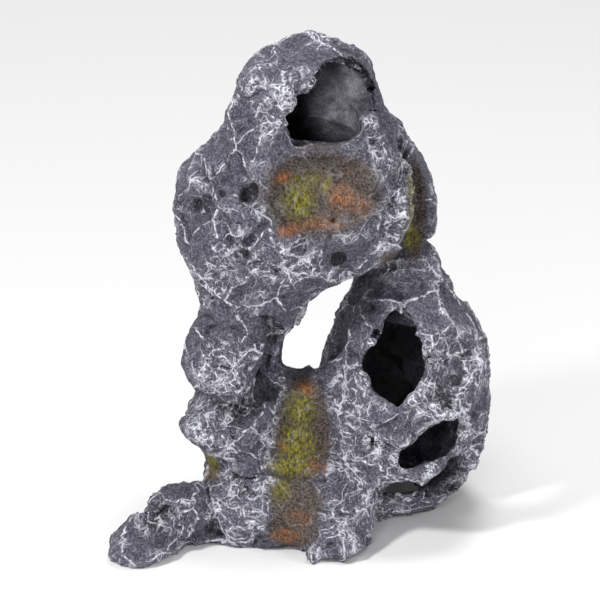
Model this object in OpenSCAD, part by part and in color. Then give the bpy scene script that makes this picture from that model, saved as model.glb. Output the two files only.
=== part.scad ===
// Cave ornament cast in resin: rough rock castings bonded on flat faces, with locating pins.
// Origin on the ground in the middle of the ornament. +X to the right, +Y to the back, +Z up.

/* [Column] */
// Place of the column's axis, from the middle to the right
column_x = -38; // [-42:1:-34]
// Place of the column's axis, from the middle to the back
column_y = -6; // [-10:1:-2]
// Height of the column's base
base_h = 46; // [40:1:52]
// Width of the column's base
base_w = 52; // [48:1:60]
// Depth of the column's base
base_d = 82; // [74:1:90]
// Height of the knuckle on the base
knuckle_h = 38; // [34:1:44]
// Width of the knuckle
knuckle_w = 70; // [64:1:76]
// Depth of the knuckle
knuckle_d = 66; // [60:1:72]
// Height of the shaft on the knuckle
shaft_h = 51; // [46:1:58]
// Width of the shaft
shaft_w = 48; // [44:1:54]
// Depth of the shaft
shaft_d = 58; // [52:1:64]

/* [Slab] */
// Height of the slab
slab_h = 58; // [50:1:62]
// Width of the slab
slab_w = 44; // [40:1:50]
// Place of the slab's axis, from the column's axis to the right
slab_off = -9; // [-12:1:-6]
// How far the slab stands out from the shaft's flat
slab_t = 23; // [18:1:28]
// Depth of the flat in front of the column's axis
slab_seat = 16; // [13:1:19]
// Height of the slab's lower end above the knuckle
slab_rise = 4; // [1:1:8]

/* [Foot] */
// Length of the foot
foot_l = 68; // [60:1:76]
// Width of the foot
foot_w = 38; // [34:1:44]
// Height of the foot
foot_h = 36; // [32:1:40]
// Turn of the foot towards the front
foot_turn = 38; // [30:1:46]
// Depth of the flat at the left of the column's axis
foot_seat = 22; // [18:1:24]
// Place of the foot's middle, from its flat to the left
foot_reach = 24; // [20:1:28]
// Place of the foot's middle, from the column's axis to the front
foot_set = 43; // [39:1:47]
// Width of the notch between foot and base
notch_w = 40; // [34:1:44]
// Depth of the notch
notch_d = 56; // [50:1:62]
// Place of the notch's middle, from the column's axis to the front
notch_set = 66; // [62:1:70]

/* [Head] */
// Place of the head's axis, from the middle to the right
head_x = -6; // [-9:1:-3]
// Place of the head's axis, from the middle to the back
head_y = -12; // [-16:1:-8]
// Height of the head's front casting
head_h = 112; // [104:1:120]
// Width of the head
head_w = 136; // [128:1:144]
// Depth of the head's front casting
head_d = 76; // [70:1:84]
// Height of the peak
peak_h = 57; // [52:1:62]
// Width of the peak
peak_w = 100; // [94:1:106]
// Depth of the peak
peak_d = 92; // [86:1:98]
// Width of the head's rear casting
rear_w = 146; // [138:1:154]
// Depth of the head's rear casting
rear_d = 104; // [96:1:112]
// Height of the rear casting's underside above the boulder
rear_rise = 23; // [19:1:27]
// Place of the rear casting's axis, from the head's axis to the right
rear_off = 13; // [10:1:16]
// Place of the peak's axis, from the head's axis to the right
peak_off = 8; // [5:1:11]
// Place of the peak's axis, from the head's axis to the back
peak_set = 12; // [9:1:15]
// Place of the flat between the front and rear castings
rear_face_y = 8; // [5:1:11]

/* [Head cave] */
// Place of the cave's middle, from the head's axis to the right
den_off = 18; // [15:1:21]
// Height of the cave's middle above the head's front casting
den_rise = 20; // [17:1:23]
// Width of the cave under the peak
den_w = 62; // [54:1:66]
// Depth of the cave under the peak
den_d = 60; // [54:1:66]
// Height of the cave under the peak
den_h = 58; // [50:1:62]
// Width of the cave's mouth
den_mouth_w = 50; // [44:1:54]
// Height of the cave's mouth
den_mouth_h = 45; // [40:1:48]
// Width of the core left hollow in the head
core_w = 98; // [86:1:102]
// Depth of the core left hollow in the head
core_d = 68; // [58:1:72]
// Height of the core left hollow in the head
core_h = 80; // [66:1:84]
// Depth of the core's middle below the top of the head's front casting
core_drop = 34; // [30:1:38]
// Place of the scoop's middle, from the head's axis to the right
scoop_off = 18; // [14:1:22]
// Depth of the scoop's middle below the top of the head's front casting
scoop_drop = 24; // [20:1:28]
// Width of the moss scoop
scoop_w = 66; // [58:1:72]
// Height of the moss scoop
scoop_h = 50; // [44:1:54]
// Depth of the moss scoop
scoop_t = 13; // [9:1:15]

/* [Cave boulder] */
// Place of the boulder's axis, from the middle to the right
cave_x = 63; // [60:1:66]
// Place of the boulder's axis, from the middle to the back
cave_y = 10; // [7:1:13]
// Height of the boulder
cave_h = 145; // [138:1:152]
// Width of the boulder
cave_w = 98; // [92:1:104]
// Depth of the boulder
cave_d = 130; // [122:1:138]
// Wall left round the boulder's chamber
shell_t = 9; // [8:1:11]
// Thickness of the boulder's roof
roof_t = 20; // [18:1:24]
// Height of the rounded part of the chamber, below its roof
dome_h = 18; // [14:1:22]
// How far the rounded part draws in towards the roof
dome_in = 14; // [10:1:18]
// Place of the cave mouth, from the boulder's axis to the right
mouth_off = -8; // [-11:1:-5]
// Height of the cave mouth's middle
mouth_z = 116; // [112:1:120]
// Width of the cave mouth
mouth_w = 36; // [30:1:40]
// Height of the cave mouth
mouth_h = 55; // [48:1:58]
// Place of the lower hole, from the boulder's axis to the right
hole_off = 14; // [11:1:17]
// Height of the lower hole's middle
hole_z = 69; // [66:1:72]
// Width of the lower hole
hole_w = 37; // [30:1:40]
// Height of the lower hole
hole_h = 33; // [28:1:36]
// Turn of the opening at the back, from the back to the right
exit_turn = 50; // [42:1:58]
// Height of the middle of the opening at the back
exit_z = 80; // [74:1:86]
// Width of the opening at the back
exit_w = 40; // [32:1:46]
// Height of the opening at the back
exit_h = 48; // [40:1:54]
// Width of the neck between boulder and head
neck_w = 44; // [40:1:50]
// Depth of the neck
neck_d = 50; // [46:1:56]
// Place of the neck's axis, from the boulder's axis to the right
neck_off = -3; // [-6:1:0]
// Place of the neck's axis, from the boulder's axis to the back
neck_set = 10; // [7:1:13]
// Height of the lip at the boulder's foot
lip_h = 22; // [19:1:25]
// Height of the slot between the lip and the front shell, at its left end
slot_h = 16; // [12:1:18]
// Place where the front shell's lower edge starts to rise
slot_x = 66; // [62:1:70]
// Slope of the front shell's lower edge from there
slot_slope = 38; // [32:1:42]

/* [Moss panels] */
// Height of the lower panel and the toe
apron_h = 46; // [42:1:50]
// Place of the flat at the left of the lower panel
apron_left_x = -28; // [-31:1:-25]
// Place of the flat at the right of the lower panel
apron_right_x = 4; // [1:1:7]
// Reach of the lower panel to the front
apron_front = 57; // [53:1:61]
// Height of the upper panel
niche_h = 51; // [47:1:55]
// Place of the flat at the left of the upper panel
niche_left_x = -15; // [-17:1:-13]
// Place of the flat at the right of the upper panel
niche_right_x = 20; // [18:1:22]
// Reach of the upper panel to the front
niche_front = 28; // [25:1:31]
// Reach of both panels to the back
panel_back = 4; // [2:1:8]
// Width of the toe
toe_w = 37; // [33:1:41]
// Reach of the toe to the front
toe_front = 72; // [68:1:76]

/* [Bonding] */
// Gap that the bonding resin fills between two flats
bond_gap = 0.1; // [0.05:0.05:0.2]
// Diameter of a locating pin
pin_d = 5; // [4:0.5:6]
// Length of a locating pin
pin_l = 14; // [10:1:16]
// Room round a pin in its socket
pin_room = 0.1; // [0.05:0.05:0.2]
// Room past a pin's end in its socket
pin_end_room = 0.5; // [0.2:0.1:1]
// How far the pin at the peak's left stands in from the peak's side
peak_pin_in = 12; // [10:1:14]
// How far the pin at the peak's back stands in from the back of the head
back_pin_in = 23; // [21:1:25]
// How far the pins between the head's castings stand in from their sides
side_pin_in = 13; // [11:1:15]
// How far the lip's pin stands in front of the rear shell's flat
lip_pin_in = 15; // [13:1:17]

/* [Surface] */
// Height of the ridges between the scoops in the rock
bump_h = 6.5; // [0:0.5:8]
// Distance from one scoop in the rock to the next
bump_pitch = 30; // [26:1:44]
// Distance between the rings of a casting's surface
ring_step = 6; // [4:1:9]
// Number of points round a ring
ring_points = 44; // [24:4:48]

/* [Hidden] */

slate = "#5b5b66";
pale_slate = "#7c7c86";
dark_slate = "#44444e";
moss = "#7a7436";
rust = "#8d6a50";
pin_white = "#d8d4c8";

// A length that is longer than the ornament in any direction
far = 400;
// How square the rings are: 1 is an ellipse, less is squarer
squareness = 0.82;
// Least half width of a ring
least_r = 1;
// Tilts of the rings of a rounded hollow, and the number of points round each
hollow_tilts = [-80, -56, -32, -8, 8, 32, 56, 80];
hollow_points = 20;
// Tilts of the rings of the chamber's rounded roof
dome_tilts = [25, 50, 70, 90];

// Heights of the flats between the stacked castings
knuckle_z = base_h;
shaft_z = knuckle_z + knuckle_h;
head_z = shaft_z + shaft_h;
peak_z = head_z + head_h;
rear_z = cave_h + rear_rise;
rear_h = peak_z - rear_z;
slab_z = shaft_z + slab_rise;
slab_face_y = column_y - slab_seat;
slab_x = column_x + slab_off;
foot_face_x = column_x - foot_seat;
niche_top_z = apron_h + niche_h;
toe_right_x = apron_right_x + toe_w;
peak_x = head_x + peak_off;
peak_y = head_y + peak_set;
rear_x = head_x + rear_off;
neck_x = cave_x + neck_off;
neck_y = cave_y + neck_set;
den_x = head_x + den_off;
den_z = peak_z + den_rise;
scoop_x = head_x + scoop_off;
scoop_z = peak_z - scoop_drop;

// Outlines of the castings from the ground up. Each row is a share of the casting's height, then the
// reach to the left, right, front and back of its axis, as shares of half its width and depth.
base_shape = [
    [0.00, 0.94, 1.00, 0.95, 0.95],
    [0.30, 0.98, 1.00, 1.00, 1.00],
    [0.62, 0.88, 0.95, 0.95, 0.95],
    [0.85, 0.68, 0.85, 0.86, 0.85]
];
knuckle_shape = [
    [0.10, 0.60, 0.62, 0.95, 0.95],
    [0.35, 0.78, 0.66, 1.00, 1.00],
    [0.58, 1.00, 0.70, 1.00, 1.00],
    [0.78, 0.84, 0.72, 0.95, 0.95],
    [0.97, 0.66, 0.72, 0.90, 0.90]
];
shaft_shape = [
    [0.25, 0.90, 1.04, 0.90, 0.95],
    [0.50, 0.85, 1.06, 0.90, 0.95],
    [0.80, 0.85, 1.18, 0.95, 0.95]
];
head_shape = [
    [0.00, 0.74, 0.05, 0.60, 0.70],
    [0.06, 0.76, 0.08, 0.64, 0.70],
    [0.13, 0.80, 0.14, 0.68, 0.70],
    [0.19, 0.83, 0.24, 0.72, 0.72],
    [0.25, 0.87, 0.42, 0.78, 0.75],
    [0.30, 0.91, 0.66, 0.84, 0.80],
    [0.39, 0.97, 0.90, 0.95, 0.90],
    [0.53, 0.99, 0.99, 1.00, 1.00],
    [0.70, 0.98, 1.00, 1.00, 1.00],
    [0.80, 0.95, 0.96, 0.97, 1.00],
    [0.88, 0.83, 0.92, 0.95, 1.00],
    [0.95, 0.66, 0.86, 0.92, 1.00]
];
peak_shape = [
    [0.03, 0.92, 1.04, 0.95, 1.02],
    [0.16, 0.90, 0.97, 0.93, 0.98],
    [0.32, 0.87, 0.88, 0.88, 0.93],
    [0.48, 0.82, 0.80, 0.80, 0.84],
    [0.61, 0.73, 0.77, 0.68, 0.73],
    [0.70, 0.62, 0.71, 0.58, 0.63],
    [0.79, 0.50, 0.58, 0.46, 0.51],
    [0.87, 0.38, 0.42, 0.32, 0.38],
    [0.94, 0.26, 0.20, 0.16, 0.25],
    [1.00, 0.14, 0.00, 0.02, 0.12]
];
cave_shape = [
    [0.00, 0.84, 0.34, 0.28, 0.84],
    [0.07, 0.84, 0.56, 0.33, 0.90],
    [0.14, 0.88, 0.76, 0.42, 0.92],
    [0.22, 0.92, 0.92, 0.77, 0.96],
    [0.31, 0.96, 0.98, 0.92, 0.98],
    [0.41, 1.00, 1.02, 0.98, 1.00],
    [0.55, 1.04, 1.00, 0.98, 1.00],
    [0.66, 1.02, 1.00, 0.95, 0.98],
    [0.72, 0.98, 0.99, 0.92, 0.95],
    [0.77, 0.91, 0.97, 0.88, 0.92],
    [0.81, 0.86, 0.89, 0.83, 0.90],
    [0.87, 0.78, 0.78, 0.77, 0.86],
    [0.95, 0.64, 0.59, 0.65, 0.77]
];
neck_shape = [
    [0.05, 1.15, 1.22, 1.70, 1.35],
    [0.35, 0.92, 1.05, 1.20, 1.10],
    [0.65, 0.80, 0.90, 0.80, 0.90],
    [0.90, 0.80, 0.80, 0.60, 0.80]
];
rear_shape = [
    [0.03, 0.10, 0.87, 0.40, 0.60],
    [0.10, 0.60, 0.90, 0.60, 0.80],
    [0.16, 0.80, 0.97, 0.70, 0.88],
    [0.24, 0.90, 1.00, 0.80, 0.95],
    [0.35, 0.97, 0.98, 0.80, 1.00],
    [0.52, 1.00, 0.95, 0.80, 1.00],
    [0.65, 0.97, 0.91, 0.80, 0.98],
    [0.76, 0.88, 0.82, 0.80, 0.93],
    [0.90, 0.72, 0.74, 0.75, 0.88],
    [1.00, 0.65, 0.66, 0.70, 0.84]
];
slab_shape = [
    [0.00, -0.20, 0.70, 0.45, 0.60],
    [0.12, 0.70, 0.85, 0.80, 0.60],
    [0.34, 1.00, 0.90, 1.00, 0.60],
    [0.60, 0.93, 1.00, 1.00, 0.60],
    [0.85, 0.72, 1.10, 0.80, 0.60],
    [1.00, 0.50, 1.10, 0.50, 0.60]
];
foot_shape = [
    [0.00, 0.92, 1.20, 0.95, 0.95],
    [0.20, 1.00, 1.20, 1.00, 1.00],
    [0.42, 0.82, 1.20, 0.92, 0.90],
    [0.62, 0.45, 1.20, 0.75, 0.75],
    [0.84, 0.15, 1.20, 0.55, 0.60],
    [1.00, -0.15, 1.10, 0.30, 0.35]
];
// Rows of the panels: a share of the panel's height and the reach to the front as a share of its own
apron_shape = [[0.00, 0.92], [0.20, 1.00], [0.55, 0.93], [0.85, 0.80], [1.00, 0.62]];
niche_shape = [[0.00, 1.25], [0.12, 1.02], [0.40, 0.92], [0.70, 0.92], [0.90, 1.00], [1.00, 0.90]];
toe_shape = [[0.00, 0.96], [0.15, 1.00], [0.40, 0.86], [0.70, 0.76], [1.00, 0.72]];

// Outlines of the openings, as shares of their width and height
mouth_shape = [
    [0.10, 0.50], [-0.15, 0.40], [-0.45, 0.08], [-0.48, -0.20], [-0.20, -0.42],
    [0.05, -0.50], [0.22, -0.34], [0.47, -0.20], [0.50, 0.08], [0.30, 0.35]
];
hole_shape = [
    [0.20, 0.50], [-0.10, 0.35], [-0.45, 0.00], [-0.50, -0.46], [0.00, -0.46],
    [0.25, -0.30], [0.45, -0.05], [0.48, 0.42]
];
den_mouth_shape = [
    [0.10, 0.54], [-0.20, 0.26], [-0.44, 0.00], [-0.42, -0.40], [0.00, -0.46],
    [0.40, -0.38], [0.56, -0.05], [0.50, 0.30], [0.34, 0.50]
];
exit_shape = [[0.0, 0.5], [-0.4, 0.3], [-0.5, -0.2], [-0.2, -0.5], [0.3, -0.45], [0.5, 0.0], [0.35, 0.4]];

// Rows of a casting in millimetres: height, left, right, front and back
function placed(shape, z, h, x, w, y, d) = [
    for (s = shape) [
        z + s[0] * h,
        x - s[1] * w / 2, x + s[2] * w / 2,
        y - s[3] * d / 2, y + s[4] * d / 2
    ]
];
// Rows of a panel: its reach to the left, right and back, and its front as a share
function panel_rows(shape, z, h, left, right, front, back) = [
    for (s = shape) [z + s[0] * h, left, right, -s[1] * front, back]
];

column_rows = concat(
    placed(base_shape, 0, base_h, column_x, base_w, column_y, base_d),
    placed(knuckle_shape, knuckle_z, knuckle_h, column_x, knuckle_w, column_y, knuckle_d),
    placed(shaft_shape, shaft_z, shaft_h, column_x, shaft_w, column_y, shaft_d),
    placed(head_shape, head_z, head_h, head_x, head_w, head_y, head_d),
    placed(peak_shape, peak_z, peak_h, peak_x, peak_w, peak_y, peak_d)
);
boulder_rows = concat(
    placed(cave_shape, 0, cave_h, cave_x, cave_w, cave_y, cave_d),
    placed(neck_shape, cave_h, rear_rise, neck_x, neck_w, neck_y, neck_d),
    placed(rear_shape, rear_z, rear_h, rear_x, rear_w, rear_face_y, rear_d)
);
// The rings of a panel run past its flats by this much, so that it is full where it is bonded
past_flat = 30;
apron_rows = panel_rows(
    apron_shape, 0, apron_h,
    apron_left_x - past_flat, apron_right_x + past_flat, apron_front, panel_back
);
niche_rows = panel_rows(
    niche_shape, apron_h, niche_h,
    niche_left_x - past_flat, niche_right_x + past_flat, niche_front, panel_back
);
toe_rows = panel_rows(
    toe_shape, 0, apron_h,
    apron_right_x - past_flat, toe_right_x + bump_h, toe_front, rear_face_y + past_flat
);
slab_rows = placed(slab_shape, slab_z, slab_h, slab_x, slab_w, slab_face_y, 2 * slab_t);
foot_rows = placed(foot_shape, 0, foot_h, 0, foot_l, 0, foot_w);

// Smooth height between two rows, with slopes taken from the rows around them
function slope(rows, i, k) =
    let (a = max(i - 1, 0), b = min(i + 1, len(rows) - 1))
    (rows[b][k] - rows[a][k]) / (rows[b][0] - rows[a][0]);
function between(rows, i, k, z) =
    let (
        h = rows[i + 1][0] - rows[i][0],
        t = min(max((z - rows[i][0]) / h, 0), 1),
        a = rows[i][k],
        b = rows[i + 1][k]
    )
    a * (1 + 2 * t) * (1 - t) * (1 - t) + b * t * t * (3 - 2 * t)
    + h * t * (1 - t) * ((1 - t) * slope(rows, i, k) - t * slope(rows, i + 1, k));
function row_at(rows, z) = max([0, for (i = [0 : len(rows) - 2]) if (rows[i][0] <= z) i]);
function section(rows, z) =
    let (i = row_at(rows, z))
    [for (k = [1 : 4]) between(rows, i, k, z)];

// Scoops in the rock with ridges between them, the same at a point whichever casting it is on. Space is
// in cubes with a seed in each, and a scoop is what is nearest to one seed, with a depth of its own.
function share(cube, n) = let (v = 43.7 * sin(cube * [127, 312, 75] + 53 * n)) v - floor(v);
function seed(cube) = cube + [for (n = [1 : 3]) 0.15 + 0.7 * share(cube, n)];
function bumps(p) =
    let (
        q = p / bump_pitch,
        home = [for (v = q) floor(v)],
        cubes = [for (i = [-1 : 1], j = [-1 : 1], k = [-1 : 1]) home + [i, j, k]],
        away = [for (c = cubes) norm(seed(c) - q)],
        nearest = min(away),
        next = min([for (a = away) if (a > nearest) a]),
        depth = 0.2 + 0.8 * share(cubes[search(nearest, away)[0]], 4)
    )
    0.27 - depth * (1 - exp(2 * (nearest - next)));

function power(v) = sign(v) * pow(abs(v), squareness);
function ring(rows, z, inset) =
    let (
        s = section(rows, z),
        cx = (s[0] + s[1]) / 2,
        cy = (s[2] + s[3]) / 2,
        rx = max((s[1] - s[0]) / 2 - inset, least_r),
        ry = max((s[3] - s[2]) / 2 - inset, least_r)
    )
    [
        for (j = [0 : ring_points - 1])
        let (
            a = 360 * j / ring_points,
            p = [cx + rx * power(cos(a)), cy + ry * power(sin(a)), z]
        )
        p + bump_h * bumps(p) * [cos(a), sin(a), 0]
    ];

// A closed skin over a list of rings, from the lowest to the highest, with a fan over each end
function middle(ring) = [for (p = ring) 1] * ring / len(ring);
module skin(rings) {
    n = len(rings[0]);
    last = len(rings) - 1;
    low = (last + 1) * n;
    high = low + 1;
    sides = [
        for (i = [0 : last - 1], j = [0 : n - 1])
        let (a = i * n + j, b = i * n + (j + 1) % n)
        each [[a, a + n, b + n], [a, b + n, b]]
    ];
    ends = [
        for (j = [0 : n - 1])
        let (k = (j + 1) % n)
        each [[low, j, k], [high, last * n + k, last * n + j]]
    ];
    polyhedron([for (r = rings) each r, middle(rings[0]), middle(rings[last])], concat(sides, ends));
}

// The length of rock between two heights of a stack
function rings(rows, from, to, inset) =
    let (steps = max(ceil((to - from) / ring_step), 1))
    [for (i = [0 : steps]) ring(rows, from + (to - from) * i / steps, inset)];
module rock(rows, from, to, inset = 0) { skin(rings(rows, from, to, inset)); }

// A rounded hollow with flat-topped ends
module hollow(at, size) {
    skin([
        for (t = hollow_tilts) [
            for (j = [0 : hollow_points - 1])
            let (a = 360 * j / hollow_points)
            at + [size[0] / 2 * cos(t) * cos(a), size[1] / 2 * cos(t) * sin(a), size[2] / 2 * sin(t)]
        ]
    ]);
}

// A smooth closed outline through the points of a shape, as wide and as high as given
function smooth(points, w, h) =
    let (n = len(points), steps = 3)
    [
        for (i = [0 : n - 1], k = [0 : steps - 1])
        let (
            t = k / steps,
            a = points[(i + n - 1) % n],
            b = points[i],
            c = points[(i + 1) % n],
            d = points[(i + 2) % n],
            p = b + (c - a) * t / 2 + (2 * a - 5 * b + 4 * c - d) * t * t / 2
                + (3 * b - a - 3 * c + d) * t * t * t / 2
        )
        [p[0] * w, p[1] * h]
    ];
// An opening cut from front to back between two depths
module opening(shape, x, z, w, h, front, back) {
    translate([x, back, z])
        rotate([90, 0, 0])
            linear_extrude(back - front)
                polygon(smooth(shape, w, h));
}

// Room that one casting leaves for another
module beyond_x(x) { translate([x, -far, -far]) cube(2 * far); }
module before_x(x) { translate([x - 2 * far, -far, -far]) cube(2 * far); }
module beyond_y(y) { translate([-far, y, -far]) cube(2 * far); }
module before_y(y) { translate([-far, y - 2 * far, -far]) cube(2 * far); }
module apron_room() {
    translate([apron_left_x - bond_gap / 2, -far, -far])
        cube([toe_right_x - apron_left_x + bond_gap, 2 * far, far + apron_h]);
}
module niche_room() {
    translate([niche_left_x - bond_gap / 2, -far, apron_h - bond_gap])
        cube([niche_right_x - niche_left_x + bond_gap, 2 * far, niche_h + bond_gap]);
}
module panel_room() {
    apron_room();
    niche_room();
}
module slab_room() {
    translate([niche_left_x - far, slab_face_y + bond_gap / 2 - far, slab_z - bond_gap])
        cube([far, far, slab_h + 2 * bond_gap]);
}
// Room round the lower end of the head's front casting
module head_room() { rock(column_rows, head_z, rear_z, -bond_gap); }
// Room under the slanting lower edge of the boulder's front shell
module slot_room() {
    translate([slot_x, -far, lip_h + slot_h])
        rotate([0, -slot_slope, 0])
            translate([0, 0, -2 * far])
                cube(2 * far);
}

// Locating pins: the point where each crosses its flat, and the way that it points
up = [0, 0, 0];
to_back = [90, 0, 0];
to_right = [0, 90, 0];
base_pin = [[column_x, column_y, knuckle_z], up];
shaft_pin = [[column_x, column_y, shaft_z], up];
head_pin = [[column_x, column_y, head_z], up];
peak_pin = [[peak_x - peak_w / 2 + peak_pin_in, peak_y, peak_z], up];
peak_rear_pin = [[rear_x, rear_face_y + rear_d / 2 - back_pin_in, peak_z], up];
slab_pin = [[slab_x, slab_face_y, slab_z + slab_h / 2], to_back];
foot_pin = [[foot_face_x, column_y - base_d / 4, foot_h / 3], to_right];
rear_left_pin = [[rear_x - rear_w / 2 + side_pin_in, rear_face_y, rear_z + rear_h / 3], to_back];
rear_right_pin = [[head_x + head_w / 2 - side_pin_in, rear_face_y, rear_z + rear_h / 4], to_back];
rear_pin = [[neck_x, neck_y, rear_z], up];
neck_pin = [[neck_x, neck_y, cave_h], up];
shell_left_pin = [[niche_right_x + shell_t / 2, rear_face_y, cave_h / 2], to_back];
shell_right_pin = [[cave_x + cave_w / 2 - shell_t / 2, rear_face_y, cave_h * 2 / 3], to_back];
niche_pin = [[niche_left_x + pin_l, -niche_front / 2, apron_h], up];
niche_left_pin = [[niche_left_x, -niche_front / 2, apron_h + niche_h / 3], to_right];
niche_right_pin = [[niche_right_x, -niche_front / 2, apron_h + niche_h / 2], to_right];
apron_left_pin = [[apron_left_x, -apron_front / 2, apron_h / 3], to_right];
apron_right_pin = [[apron_right_x, -apron_front / 2, apron_h / 3], to_right];
toe_pin = [[niche_right_x + 2 * pin_d, cave_y - cave_d / 3, apron_h], up];
toe_rear_pin = [[niche_right_x + pin_d, rear_face_y, apron_h / 2], to_back];
lip_pin = [[toe_right_x, rear_face_y - lip_pin_in, lip_h / 2], to_right];
ALL_PINS = [
    base_pin, shaft_pin, head_pin, peak_pin, peak_rear_pin, slab_pin, foot_pin, rear_left_pin, rear_right_pin,
    rear_pin, neck_pin, shell_left_pin, shell_right_pin, niche_pin, niche_left_pin, niche_right_pin,
    apron_left_pin, apron_right_pin, toe_pin, toe_rear_pin, lip_pin
];

module pin(p, d, l) { translate(p[0]) rotate(p[1]) cylinder(h = l, d = d, center = true, $fn = 24); }
module sockets(pins) {
    for (p = pins) pin(p, pin_d + 2 * pin_room, pin_l + 2 * pin_end_room);
}

// Hollows that run through more than one casting
module head_hollows() {
    hollow([den_x, peak_y, den_z], [den_w, den_d, den_h]);
    hollow([head_x + peak_off / 2, rear_face_y, peak_z - core_drop], [core_w, core_d, core_h]);
}
// The boulder's chamber leaves a full wall beside the upper panel
module chamber() {
    dome_z = cave_h - roof_t - dome_h;
    dome = [
        for (t = dome_tilts)
        ring(boulder_rows, dome_z + dome_h * sin(t), shell_t + dome_in * (1 - cos(t)))
    ];
    difference() {
        skin(concat(rings(boulder_rows, -ring_step, dome_z, shell_t), dome));
        before_x(niche_right_x + shell_t);
    }
}

module left_foot() {
    color(slate)
        difference() {
            translate([foot_face_x - foot_reach, column_y - foot_set, 0])
                rotate([0, 0, foot_turn])
                    rock(foot_rows, 0, foot_h);
            beyond_x(foot_face_x - bond_gap / 2);
            hollow([foot_face_x, column_y - notch_set, 0], [notch_w, notch_d, 2 * foot_h]);
            sockets([foot_pin]);
        }
}
module column_base() {
    color(slate)
        difference() {
            rock(column_rows, 0, knuckle_z - bond_gap / 2);
            before_x(foot_face_x + bond_gap / 2);
            panel_room();
            sockets([base_pin, foot_pin, apron_left_pin]);
        }
}
module column_knuckle() {
    color(slate)
        difference() {
            rock(column_rows, knuckle_z + bond_gap / 2, shaft_z - bond_gap / 2);
            panel_room();
            sockets([base_pin, shaft_pin, niche_left_pin]);
        }
}
module column_shaft() {
    color(slate)
        difference() {
            rock(column_rows, shaft_z + bond_gap / 2, head_z - bond_gap / 2);
            panel_room();
            slab_room();
            sockets([shaft_pin, head_pin, slab_pin]);
        }
}
module column_slab() {
    color(pale_slate)
        difference() {
            rock(slab_rows, slab_z, slab_z + slab_h);
            beyond_y(slab_face_y - bond_gap / 2);
            beyond_x(niche_left_x - bond_gap);
            sockets([slab_pin]);
        }
}
module head_front() {
    color(slate)
        difference() {
            rock(column_rows, head_z + bond_gap / 2, peak_z - bond_gap / 2);
            beyond_y(rear_face_y - bond_gap / 2);
            slab_room();
            head_hollows();
            hollow([scoop_x, head_y - head_d / 2, scoop_z], [scoop_w, 2 * scoop_t, scoop_h]);
            sockets([head_pin, peak_pin, rear_left_pin, rear_right_pin]);
        }
}
module head_peak() {
    color(pale_slate)
        difference() {
            rock(column_rows, peak_z + bond_gap / 2, peak_z + peak_h);
            head_hollows();
            opening(den_mouth_shape, den_x, den_z, den_mouth_w, den_mouth_h, -far, head_y);
            sockets([peak_pin, peak_rear_pin]);
        }
}
module head_rear() {
    color(dark_slate)
        difference() {
            rock(boulder_rows, rear_z + bond_gap / 2, peak_z - bond_gap / 2);
            before_y(rear_face_y + bond_gap / 2);
            head_hollows();
            sockets([rear_left_pin, rear_right_pin, rear_pin, peak_rear_pin]);
        }
}
module neck() {
    color(slate)
        difference() {
            rock(boulder_rows, cave_h + bond_gap / 2, rear_z - bond_gap / 2);
            head_room();
            sockets([rear_pin, neck_pin]);
        }
}
module cave_front() {
    color(slate)
        difference() {
            rock(boulder_rows, lip_h + slot_h, cave_h - bond_gap / 2);
            beyond_y(rear_face_y - bond_gap / 2);
            panel_room();
            chamber();
            opening(mouth_shape, cave_x + mouth_off, mouth_z, mouth_w, mouth_h, -far, cave_y - shell_t);
            opening(hole_shape, cave_x + hole_off, hole_z, hole_w, hole_h, -far, cave_y - shell_t);
            slot_room();
            sockets([shell_left_pin, shell_right_pin, niche_right_pin, toe_pin]);
        }
}
module cave_rear() {
    color(dark_slate)
        difference() {
            rock(boulder_rows, 0, cave_h - bond_gap / 2);
            before_y(rear_face_y + bond_gap / 2);
            chamber();
            translate([cave_x, cave_y, 0])
                rotate([0, 0, -exit_turn])
                    opening(exit_shape, 0, exit_z, exit_w, exit_h, cave_w / 4, far);
            sockets([neck_pin, shell_left_pin, shell_right_pin, toe_rear_pin]);
        }
}
module base_lip() {
    color(slate)
        difference() {
            rock(boulder_rows, 0, lip_h);
            beyond_y(rear_face_y - bond_gap / 2);
            before_x(toe_right_x + bond_gap / 2);
            chamber();
            sockets([lip_pin]);
        }
}
module base_toe() {
    color(pale_slate)
        difference() {
            rock(toe_rows, 0, apron_h - bond_gap);
            before_x(apron_right_x + bond_gap / 2);
            beyond_x(toe_right_x - bond_gap / 2);
            beyond_y(rear_face_y - bond_gap / 2);
            chamber();
            sockets([toe_pin, toe_rear_pin, apron_right_pin, lip_pin]);
        }
}
module moss_niche() {
    color(moss)
        difference() {
            rock(niche_rows, apron_h, niche_top_z);
            before_x(niche_left_x + bond_gap / 2);
            beyond_x(niche_right_x - bond_gap / 2);
            beyond_y(rear_face_y - bond_gap / 2);
            sockets([niche_pin, niche_left_pin, niche_right_pin]);
        }
}
module moss_apron() {
    color(rust)
        difference() {
            rock(apron_rows, 0, apron_h - bond_gap);
            before_x(apron_left_x + bond_gap / 2);
            beyond_x(apron_right_x - bond_gap / 2);
            beyond_y(rear_face_y - bond_gap / 2);
            sockets([niche_pin, apron_left_pin, apron_right_pin]);
        }
}
module locating_pins() {
    color(pin_white)
        for (p = ALL_PINS) pin(p, pin_d, pin_l);
}

left_foot();
column_base();
column_knuckle();
column_shaft();
column_slab();
head_front();
head_peak();
head_rear();
neck();
cave_front();
cave_rear();
base_lip();
base_toe();
moss_niche();
moss_apron();
locating_pins();
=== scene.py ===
import math

import bmesh
import bpy
import numpy as np
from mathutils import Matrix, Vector
from mathutils.bvhtree import BVHTree
from mathutils.kdtree import KDTree


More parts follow.
